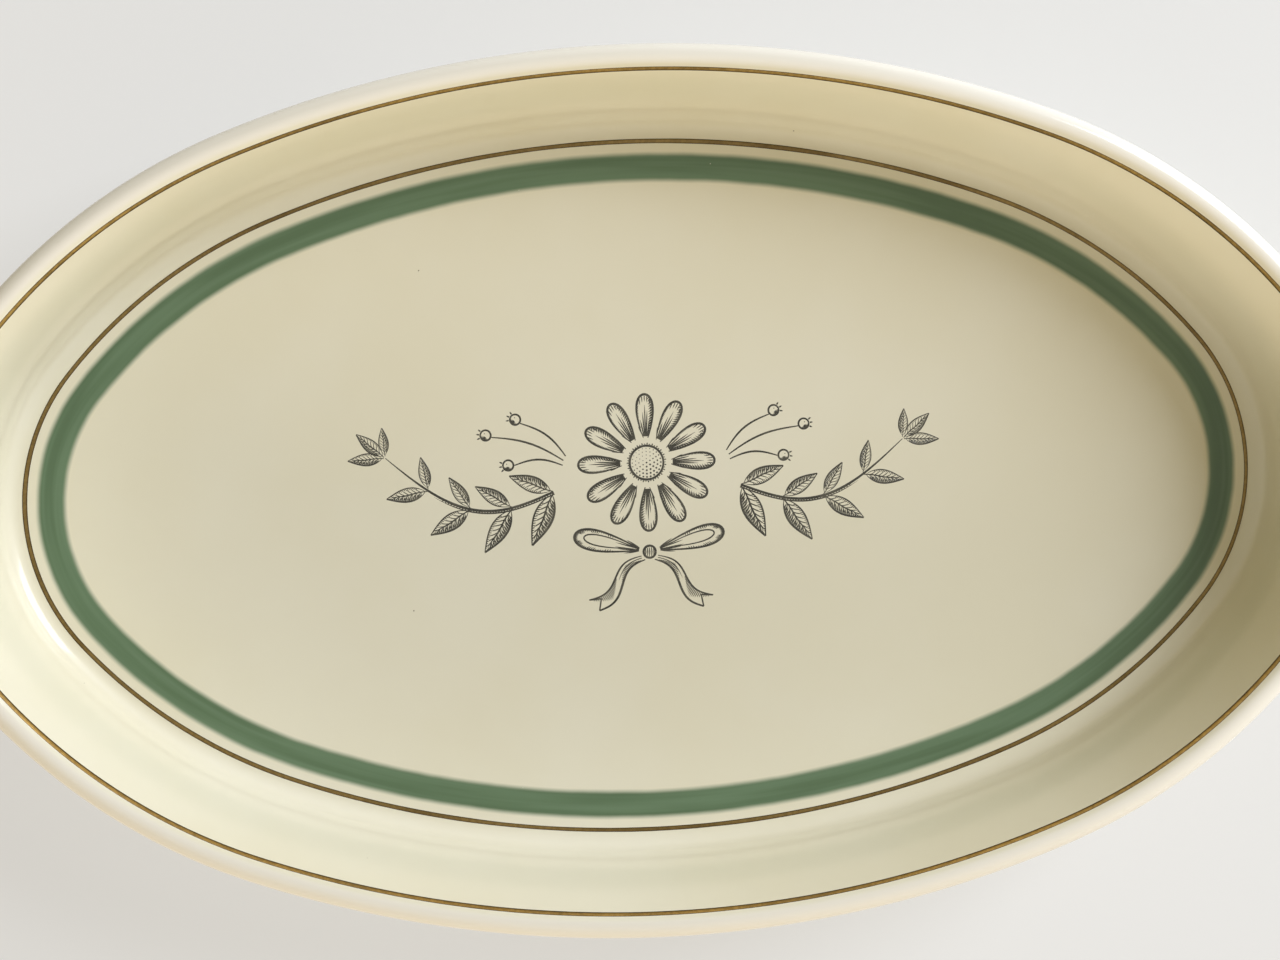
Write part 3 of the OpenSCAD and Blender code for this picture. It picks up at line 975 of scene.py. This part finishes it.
def button_strokes():
    """The daisy's button: a ring, short rays and dots that grow towards the shaded side."""
    p = print_sizes()
    radius = p.button_radius
    strokes = [ring(radius - p.outline / 2, p.outline, 40)]
    for count, share in BUTTON_DOTS:
        for i in range(count):
            angle = 2 * pi * (i + 0.5 * (count // 6 % 2)) / count
            shade = 0.5 - 0.5 * cos(angle - LIGHT_ANGLE)
            strokes.append(dot(around(MIDDLE, radius * share, angle), mixing(*DOT_RADII, shade)))
    return strokes + hatching(range(BUTTON_RAYS), lambda i, u: around(
        MIDDLE, radius + RAY_LENGTHS[i % 2] * u, 2 * pi * i / BUTTON_RAYS), 1.3 * p.hair)


def daisy():
    p = print_sizes()
    start, _, _ = petal_size()
    petal = drawing("petal", petal_strokes())
    turns = [2 * pi * i / p.petals for i in range(p.petals)]
    petals = placed_copies(petal, [flat_place(start * heading(a), a) for a in turns])
    discard(petal)
    return joined("daisy_engraved", [drawing("button", button_strokes())] + petals)


# The sprigs of berries

# Each stalk's turn in degrees, and its reach as a share of the sprig's
BERRY_STALKS = ((2, 0.72), (20, 1.0), (38, 0.8))
BERRY_FROM_SHARE = 0.16
BERRY_BOW_SHARE = 0.06
BERRY_TURN = radians(12)

# Each shading arc's half sweep in degrees, and its radius as a share of the berry's
BERRY_SHADES = ((68, 0.8), (59, 0.64), (50, 0.48), (41, 0.32))
GLINT_SHARES = (0.2, 0.25)
GLINT_RADIUS = 0.1 * MM
CROWN_TURNS = (-32, 0, 32)
CROWN_REACH = (0.02 * MM, 0.55 * MM)


def berry_strokes():
    """A berry: its round outline, shading along its lower side and a little crown."""
    p = print_sizes()
    radius = p.berry_radius
    strokes = [ring(radius - 0.4 * p.outline, 0.8 * p.outline, 22)]
    for half, share in BERRY_SHADES:
        strokes.append(stroke([around(MIDDLE, radius * share, radians(a))
                               for a in shares(8, -70 - half, -70 + half)], 1.15 * p.hair))
    strokes.append(dot([radius * share for share in GLINT_SHARES], GLINT_RADIUS))
    return strokes + hatching(CROWN_TURNS, lambda turn, u: around(
        MIDDLE, radius + mixing(*CROWN_REACH, u), radians(turn)), p.fine)


def sprig():
    """Three berries on bowed stalks, drawn to the right of the daisy."""
    p = print_sizes()
    long = p.sprig_length
    berry = drawing("berry", berry_strokes())
    places, strokes = [], []
    for turn, share in BERRY_STALKS:
        angle, reach = radians(turn), long * share

        def turned(x, y):
            return Vector((p.daisy_radius, 0.0)) + Matrix.Rotation(angle, 2) @ Vector((x, y))

        start, end = long * BERRY_FROM_SHARE, reach - p.berry_radius
        stalk = [turned(mixing(start, end, t), long * BERRY_BOW_SHARE * sin(pi * t))
                 for t in shares(12)]
        strokes.append(stroke(stalk, 1.25 * p.fine, (0.6, 0.6)))
        places.append(flat_place(turned(reach, 0.0), angle - BERRY_TURN))
    berries = placed_copies(berry, places)
    discard(berry)
    return joined("sprig", [drawing("stalks", strokes)] + berries)


# The ribbon

LOOP_TURN = radians(14)
LOOP_OPEN = 160
LOOP_NECK_SHARE = 0.2
TAIL_TURN = radians(-42)
TAIL_WAVE_SHARE = 0.08
TAIL_NECK_SHARE = 0.35
NOTCH_SHARE = 0.14

# Each shaded fold's middle and reach as shares of the tail, and its side
TAIL_SHADES = ((0.25, 0.2, -1), (0.72, 0.22, 1))

# From the knot to the loops and tails
KNOT_GAP = 0.25 * MM
KNOT_FOLD_SHARES = (-0.62, -0.36, -0.1, 0.2, 0.48)


def loop_strokes():
    """A ribbon loop: its outline, folds that run out of the knot and a shaded bend."""
    p = print_sizes()
    long, high = p.loop_length, p.loop_height

    def loop(angle, long_share=1.0, high_share=1.0, ahead=0.0, rise=0.0):
        x, y = drop_outline(angle, long_share * long, high_share * high, LOOP_NECK_SHARE)
        return x + ahead * long, y + rise * high

    strokes = [stroke([loop(a) for a in shares(34, -LOOP_OPEN, LOOP_OPEN)], p.outline, (0.5, 0.5)),
               stroke([loop(a, 0.8, 0.52, 0.06, 0.02) for a in shares(26, -150, 150)], p.fine,
                      (0.4, 0.4))]
    for k in (-4, -3, -2, -1, 1, 2, 3, 4):
        size = abs(k)
        fold = [(long * mixing(0.03, 0.44 - 0.05 * size, u),
                 k / size * high * mixing(0.012 * size, 0.052 * size + 0.02, u ** 0.8))
                for u in shares(6)]
        strokes.append(stroke(fold, 1.2 * p.hair, (0.9, 0.2)))
    for angle in shares(48, -100, 100):
        near, far = Vector(loop(angle)), Vector(loop(angle, 0.84, 0.6, 0.06))
        depth = 0.82 if int(angle) % 2 else 0.5
        strokes.append(stroke([near.lerp(far, u) for u in shares(3, 0.0, depth)], p.hair, (0.8, 0.25)))
    return strokes


def tail_strokes():
    """A waved ribbon tail with a notched end, a crease and shading across its folds."""
    p = print_sizes()
    long = p.tail_length

    def line(t, share):
        half = p.tail_width / 2 * mixing(TAIL_NECK_SHARE, 1, t)
        return long * t, long * TAIL_WAVE_SHARE * sin(2 * pi * t) + share * half

    strokes = [stroke([line(t, side) for t in shares(22)], width, (0.5, 0.75))
               for side, width in ((-1, p.outline), (1, 0.8 * p.outline))]
    strokes += hatching((-1, 1), lambda side, u: (
        long * (1 - NOTCH_SHARE * (1 - u)), side * p.tail_width / 2 * u), p.fine, (0.8, 0.9), 5)
    strokes.append(stroke([line(t, 0.1) for t in shares(14, 0.02, 0.5)], p.hair, (0.9, 0.2)))
    for centre, reach, side in TAIL_SHADES:
        strokes += hatching(shares(19, centre - reach, centre + reach), lambda t, u: line(
            t + 0.02 * u, side * (0.92 - u * mixing(1.5, 0.35, abs(t - centre) / reach))),
            p.hair, steps=4)
    return strokes


def ribbon():
    p = print_sizes()
    radius = p.knot_radius
    pieces = []
    for name, strokes, turn in (("loop", loop_strokes(), LOOP_TURN),
                                ("tail", tail_strokes(), TAIL_TURN)):
        part = drawing(name, strokes)
        x, y = (radius + KNOT_GAP) * heading(turn)
        pieces += placed_copies(part, [flat_place((x, y), turn),
                                       flat_place((-x, y), pi - turn, flip=True)])
        discard(part)
    strokes = [ring(radius - 0.5 * p.outline, p.outline, 24)]
    for share in KNOT_FOLD_SHARES:
        half = 0.72 * sqrt(1 - share * share)
        strokes.append(stroke([(radius * (share + 0.1 * sin(pi * u)),
                                radius * mixing(-half, half, u)) for u in shares(5)],
                              1.2 * p.hair, (0.4, 0.4)))
    return joined("ribbon_engraved", [drawing("knot", strokes)] + pieces)


# One operator for each piece, or group of like pieces

# Steps of the arcs that round off the foot and the glaze's end on it, and points across the band
TIP_STEPS = 6
GLAZE_END_STEPS = 4
BAND_POINTS = 9

# A gilt line's cross-section, in shares of half its width and of its height
HALF_HUMP_SHARES = [(-1.0, -0.2), (-0.94, 0.4), (-0.78, 0.8), (-0.4, 1.0)]
HUMP_SHARES = HALF_HUMP_SHARES + [(-x, y) for x, y in HALF_HUMP_SHARES[::-1]]
HUMP_UNDER_SHARES = [(-0.5, -0.6), (0.5, -0.6)]

# How much each gilt line's width varies, with the seed of its waves, and their number on a round
INNER_SWAY = (0.16, 5)
OUTER_SWAY = (0.08, 9)
SWAY_WAVES = (3, 7, 13, 23, 41, 67)


class PLATTER_OT_body(Operator):
    """Model the porcelain body, which shows only at its bare standing edge"""

    bl_idname = "platter.body"
    bl_label = "Porcelain body"

    def execute(self, context):
        s = sizes()
        depth, tip = s.glaze, s.foot_tip
        outer, inner = -s.foot_inset, -s.foot_inset - s.foot_width
        standing = (arc((outer - tip, tip - depth), tip - depth, 0, -90, TIP_STEPS)
                    + arc((inner + tip, tip - depth), tip - depth, -90, -180, TIP_STEPS))
        section = ([(core_edge(), s.floor_top - depth)] + show_side(depth, False) + standing
                   + under_side(depth))
        piece = swept("porcelain_body_smooth", section, (s.floor_top - depth, s.foot_height + depth))
        dress(piece, "porcelain_body", "bare_porcelain")
        return {"FINISHED"}


class PLATTER_OT_glaze(Operator):
    """Model the cream glaze over the dish and the glaze under its floor"""

    bl_idname = "platter.glaze"
    bl_label = "Cream glaze"

    def execute(self, context):
        s = sizes()
        inner, outer = band_edges()
        low, end = s.floor_top - s.band_depth, s.glaze_end
        notch = [(core_edge(), s.floor_top), (inner, s.floor_top), (inner, low), (outer, low),
                 (outer, s.floor_top)]
        foot_x = -s.foot_inset
        foot_end = (arc((foot_x - end, s.bare_height + end), end, 0, -90, GLAZE_END_STEPS)
                    + [(foot_x - s.glaze, s.bare_height)])
        section = (steadied([notch, show_side(0)]) + foot_end
                   + show_side(s.glaze, False)[::-1] + [(core_edge(), s.floor_top - s.glaze)])
        coat = swept("glaze_coat_smooth", section, (s.floor_top, s.floor_top - s.glaze))
        dress(coat, "glaze_coat", "cream_glaze")
        foot_x -= s.foot_width
        foot_end = ([(foot_x + s.glaze, s.bare_height)]
                    + arc((foot_x + end, s.bare_height + end), end, -90, -180, GLAZE_END_STEPS))
        section = foot_end + under_side(0) + under_side(s.glaze)[::-1] + foot_end[:1]
        under = swept("underside_glaze_smooth", section, (s.foot_height, s.foot_height + s.glaze))
        dress(under, "underside_glaze", "cream_glaze")
        return {"FINISHED"}


class PLATTER_OT_band(Operator):
    """Model the green band, set flush in the floor's glaze"""

    bl_idname = "platter.band"
    bl_label = "Green band"

    def execute(self, context):
        s = sizes()
        inner, outer = band_edges()
        low = s.floor_top - s.band_depth
        section = ([(x, s.floor_top) for x in shares(BAND_POINTS, inner, outer)]
                   + [(outer, low), (inner, low), (inner, s.floor_top)])
        piece = swept("green_band_soft", section)
        mark_across(piece, inner, outer)
        dress(piece, "green_band", "green_glaze")
        return {"FINISHED"}


def uneven_width(piece, middle, sway):
    """Varies a line's width a little along its way, as a hand held brush does."""
    amount, seed = sway
    dice = random.Random(seed)
    waves = [(n, dice.uniform(0, 2 * pi), dice.uniform(0.4, 1.0) / n ** 0.4) for n in SWAY_WAVES]
    total = sum(weight for _, _, weight in waves)
    arcs = plan_arcs()
    for vertex in piece.data.vertices:
        x, y = vertex.co.x, vertex.co.y
        angle = atan2(y, x)
        change = amount * sum(w * sin(n * angle + p) for n, p, w in waves) / total
        vertex.co += heading(angle).to_3d() * (plan_offset(arcs, x, y) - middle) * change


class PLATTER_OT_gilding(Operator):
    """Model the two gilt lines, on the floor's edge and inside the lip"""

    bl_idname = "platter.gilding"
    bl_label = "Gilt lines"

    def execute(self, context):
        s = sizes()
        middle, half = -s.inner_line_inset, s.inner_line / 2
        section = [(middle + half * x, s.floor_top + s.gilt_height * y)
                   for x, y in HUMP_SHARES + HUMP_SHARES[:1]]
        self.line("inner_gold_line", section, middle - half, middle + half, INNER_SWAY)
        turn = s.outer_line / 2 / s.lip_radius

        def on_lip(x, y):
            return around(lip_centre(), s.lip_radius + s.gilt_height * y, s.outer_line_angle + turn * x)

        shape = HUMP_SHARES[::-1] + HUMP_UNDER_SHARES + HUMP_SHARES[-1:]
        self.line("outer_gold_line", [on_lip(x, y) for x, y in shape],
                  on_lip(1, 0)[0], on_lip(-1, 0)[0], OUTER_SWAY)
        return {"FINISHED"}

    def line(self, body_node, section, inner, outer, sway):
        """Sweeps one line and varies its width."""
        piece = swept(body_node + "_fine", section)
        mark_across(piece, inner, outer)
        uneven_width(piece, (inner + outer) / 2, sway)
        dress(piece, body_node, "gilding", GILT_SMOOTH)


class PLATTER_OT_daisy(Operator):
    """Draw the printed daisy"""

    bl_idname = "platter.daisy"
    bl_label = "Printed daisy"

    def execute(self, context):
        lay_print(daisy(), "print_daisy", print_sizes().daisy_rise)
        return {"FINISHED"}


class PLATTER_OT_garlands(Operator):
    """Draw the printed garlands at both sides of the daisy"""

    bl_idname = "platter.garlands"
    bl_label = "Printed garlands"

    def execute(self, context):
        right = garland()
        left = joined("left_garland_engraved", across_copy(right))
        lay_print(right, "print_right_garland")
        lay_print(left, "print_left_garland")
        return {"FINISHED"}


class PLATTER_OT_berries(Operator):
    """Draw the printed sprigs of berries"""

    bl_idname = "platter.berries"
    bl_label = "Printed berries"

    def execute(self, context):
        right = sprig()
        piece = joined("berries_engraved", [right] + across_copy(right))
        lay_print(piece, "print_berries", print_sizes().daisy_rise)
        return {"FINISHED"}


class PLATTER_OT_ribbon(Operator):
    """Draw the printed ribbon under the daisy"""

    bl_idname = "platter.ribbon"
    bl_label = "Printed ribbon"

    def execute(self, context):
        lay_print(ribbon(), "print_ribbon", -print_sizes().knot_drop)
        return {"FINISHED"}


# The studio

# In metres. A lamp's place is its bearing and height in degrees and its reach
FLOOR_SIZE = 24.0
FLOOR_GAP = 0.02 * MM
FADE_REACH = (0.15, 1.2)
WINDOW_PLACE, WINDOW_SIZE = (30, 30, 1.1), (0.52, 0.8)
FILL_PLACE, FILL_SIZE = (255, 14, 2.0), (2.4, 0.6)
CAMERA_CLIP = (0.01, 20.0)

# In millimetres
SENSOR_WIDTH = 36.0


class PLATTER_OT_stage(Operator):
    """Set up the plain pale floor, the soft studio light and the camera"""

    bl_idname = "platter.stage"
    bl_label = "Studio"

    def execute(self, context):
        scene = context.scene
        pick()
        bpy.ops.mesh.primitive_plane_add(size=FLOOR_SIZE, location=(0, 0, -FLOOR_GAP))
        floor = bpy.context.object
        floor.name = "studio_floor"
        floor.data.materials.append(material_of("studio_floor", self.floor_looks))

        world = bpy.data.worlds.new("studio")
        scene.world = world
        world.use_nodes = True
        n = Nodes(world.node_tree)
        n.tree.nodes.clear()
        sky = [studio().sky * v for v in colours().sky[:3]] + [1.0]
        back = n.add("Background", {"Color": n.mix(self.seen(n), sky, WHITE)})
        n.add("OutputWorld", {"Surface": back.outputs[0]})

        self.lamp("window", WINDOW_PLACE, WINDOW_SIZE, studio().window, colours().window)
        fill = self.lamp("fill", FILL_PLACE, FILL_SIZE, studio().fill, colours().fill)
        fill.visible_glossy = False

        lens = bpy.data.cameras.new("camera")
        lens.sensor_width = SENSOR_WIDTH
        lens.lens = studio().lens
        lens.clip_start, lens.clip_end = CAMERA_CLIP
        camera = bpy.data.objects.new("camera", lens)
        scene.collection.objects.link(camera)
        camera.location = studio().place
        camera.rotation_euler = studio().turn
        scene.camera = camera
        scene.view_settings.view_transform = "Standard"
        return {"FINISHED"}

    def seen(self, n):
        """Whether a ray comes from the camera or shows something in gloss or glass."""
        rays = n.add("LightPath").outputs
        shown = n.math("MAXIMUM", rays["Is Glossy Ray"], rays["Is Transmission Ray"])
        return n.math("MAXIMUM", rays["Is Camera Ray"], shown)

    def floor_looks(self, n, shader, place):
        """A plain pale floor that keeps the dish's shadow and fades to white further out."""
        floor = colours().floor
        pale = [0.97 * v for v in floor[:3]] + [1.0]
        n.fill(shader, {"Base Color": n.mix(n.noise(place, 1.5), floor, pale),
                        "Roughness": 0.9, "Specular IOR Level": 0.1})
        away = n.vector("LENGTH", {0: place})["Value"]
        glow = n.add("Emission", {"Color": WHITE}).outputs[0]
        share = n.times(n.ramp(away, *FADE_REACH, 0.5, 1.0), self.seen(n))
        return n.add("MixShader", {0: share, 1: shader.outputs[0], 2: glow}).outputs[0]

    def lamp(self, name, place, size, power, tint):
        """An oblong soft lamp that looks at the dish."""
        bearing, height, reach = place
        light = bpy.data.lights.new(name, "AREA")
        light.shape = "RECTANGLE"
        light.size, light.size_y = size
        light.energy = power
        light.color = tint[:3]
        lamp = bpy.data.objects.new(name, light)
        bpy.context.scene.collection.objects.link(lamp)
        out, up = reach * heading(radians(height))
        lamp.location = Matrix.Rotation(radians(bearing), 3, "Z") @ Vector((out, 0.0, up))
        lamp.rotation_mode = "QUATERNION"
        lamp.rotation_quaternion = (-lamp.location).to_track_quat("-Z", "Y")
        return lamp


PIECES = (
    PLATTER_OT_body, PLATTER_OT_glaze, PLATTER_OT_band, PLATTER_OT_gilding,
    PLATTER_OT_daisy, PLATTER_OT_garlands, PLATTER_OT_berries, PLATTER_OT_ribbon,
    PLATTER_OT_stage,
)


class PLATTER_PT_panel(Panel):
    """Lists the platter's pieces in the sidebar"""

    bl_idname = "PLATTER_PT_panel"
    bl_label = "Platter"
    bl_space_type = "VIEW_3D"
    bl_region_type = "UI"
    bl_category = "Platter"

    def draw(self, context):
        for piece in PIECES:
            self.layout.operator(piece.bl_idname, text=piece.bl_label)


GROUPS = {
    "platter_sizes": PlatterSizes,
    "platter_print": PrintSizes,
    "platter_colours": PlatterColours,
    "platter_studio": StudioSettings,
}
CLASSES = (*GROUPS.values(), *PIECES, PLATTER_PT_panel)


def register():
    for each in CLASSES:
        bpy.utils.register_class(each)
    for name, group in GROUPS.items():
        setattr(bpy.types.Scene, name, PointerProperty(type=group))


def unregister():
    for name in GROUPS:
        delattr(bpy.types.Scene, name)
    for each in reversed(CLASSES):
        bpy.utils.unregister_class(each)


def main():
    """Models every piece in order."""
    register()
    bpy.ops.platter.body()
    bpy.ops.platter.glaze()
    bpy.ops.platter.band()
    bpy.ops.platter.gilding()
    bpy.ops.platter.daisy()
    bpy.ops.platter.garlands()
    bpy.ops.platter.berries()
    bpy.ops.platter.ribbon()
    bpy.ops.platter.stage()
    discard(nib())


if __name__ == "__main__":
    main()
